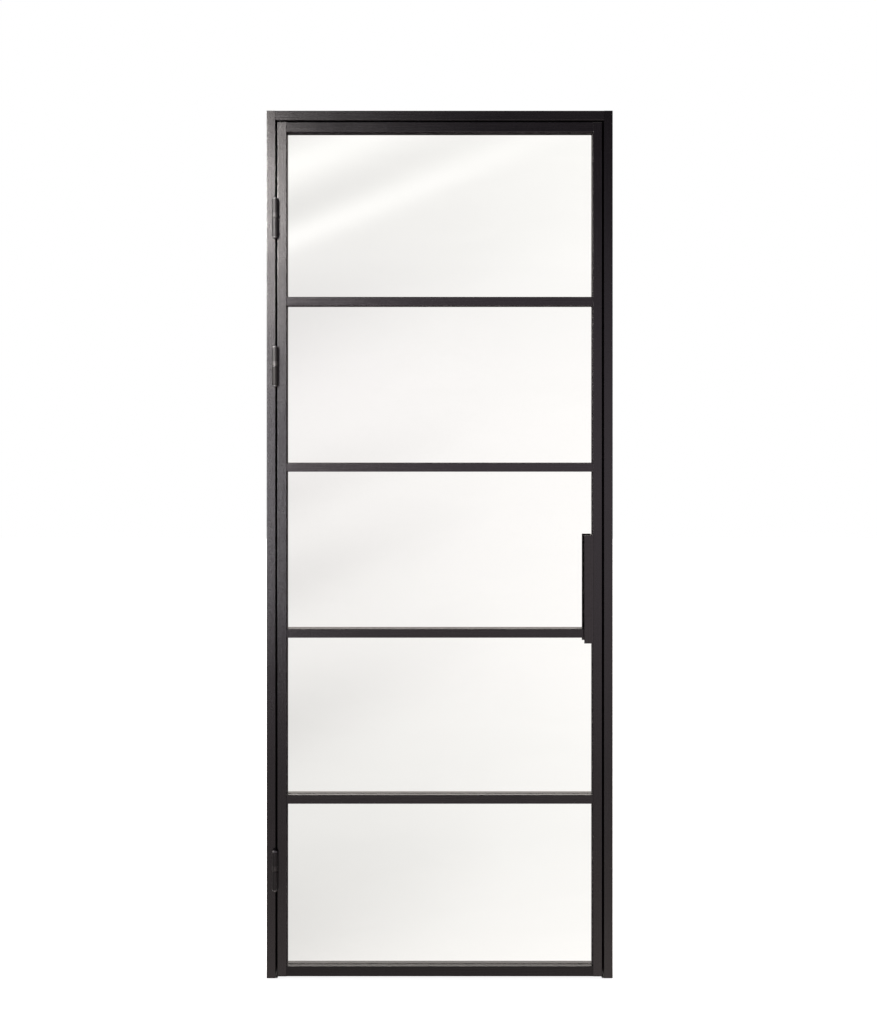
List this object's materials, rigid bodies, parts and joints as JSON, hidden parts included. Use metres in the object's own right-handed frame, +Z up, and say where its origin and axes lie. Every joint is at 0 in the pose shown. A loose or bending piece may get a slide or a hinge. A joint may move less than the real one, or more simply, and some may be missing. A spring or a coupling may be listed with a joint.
{
  "type": "glass door",
  "caption": "Slim black steel-look hinged door in its frame, with clear panes divided by horizontal bars, barrel hinges on the left and an angle pull handle on each side.",
  "frame": {"origin": "on the floor, at the middle of the frame's width and depth", "axes": "+Z up, +X to the right seen from the side the leaf opens towards, -Y towards that viewer"},
  "size_m": [0.938, 0.073, 2.351],
  "materials": {
    "frame_paint": "satin black powder coat",
    "leaf_paint": "satin black powder coat",
    "handle_paint": "satin black powder coat",
    "hinge_paint": "satin black enamel",
    "collar_steel": "blackened, turned",
    "hinge_cap_steel": "satin",
    "pin_steel": "ground",
    "dark_screw_steel": "black oxide",
    "magnet_nickel": "nickel plated",
    "keeper_zinc": "zinc plated",
    "clear_glass": "clear",
    "glazing_rubber": "matt",
    "seal_rubber": "matt",
    "cap_plastic": "fine grain"
  },
  "bodies": {
    "frame": {"hinge_jamb": "frame_paint", "lock_jamb": "frame_paint", "frame_head": "frame_paint", "frame_corner_screws": "dark_screw_steel", "hinge_side_stop": "frame_paint", "lock_side_stop": "frame_paint", "head_stop": "frame_paint", "stop_screws": "dark_screw_steel", "hinge_side_seal": "seal_rubber", "lock_side_seal": "seal_rubber", "head_seal": "seal_rubber", "catch_magnet": "magnet_nickel", "hinge_frame_screws": "dark_screw_steel", "hinge_frame_caps": "hinge_cap_steel", "top_hinge_frame_half": "hinge_paint", "top_hinge_pin": "pin_steel", "middle_hinge_frame_half": "hinge_paint", "middle_hinge_pin": "pin_steel", "bottom_hinge_frame_half": "hinge_paint", "bottom_hinge_pin": "pin_steel"},
    "leaf": {"hinge_stile": "leaf_paint", "lock_stile": "leaf_paint", "top_rail": "leaf_paint", "bottom_rail": "leaf_paint", "glazing_bar_1": "leaf_paint", "glazing_bar_2": "leaf_paint", "glazing_bar_3": "leaf_paint", "glazing_bar_4": "leaf_paint", "pane_1": "clear_glass", "pane_2": "clear_glass", "pane_3": "clear_glass", "pane_4": "clear_glass", "pane_5": "clear_glass", "pane_gasket_1": "glazing_rubber", "pane_gasket_2": "glazing_rubber", "pane_gasket_3": "glazing_rubber", "pane_gasket_4": "glazing_rubber", "pane_gasket_5": "glazing_rubber", "stile_end_caps": "cap_plastic", "hinge_stile_screws": "dark_screw_steel", "lock_stile_screws": "dark_screw_steel", "keeper_plate": "keeper_zinc", "keeper_screws": "dark_screw_steel", "front_handle": "handle_paint", "rear_handle": "handle_paint", "handle_screws": "dark_screw_steel", "hinge_leaf_screws": "dark_screw_steel", "hinge_leaf_caps": "hinge_cap_steel", "top_hinge_leaf_half": "hinge_paint", "top_hinge_collar": "collar_steel", "middle_hinge_leaf_half": "hinge_paint", "middle_hinge_collar": "collar_steel", "bottom_hinge_leaf_half": "hinge_paint", "bottom_hinge_collar": "collar_steel"}
  },
  "joints": [
    {"name": "leaf_swing", "type": "hinge", "parent": "frame", "child": "leaf", "pos_m": [-0.4455, -0.0284, 1.175], "axis": [0, 0, -1], "range_deg": [0, 170]}
  ]
}
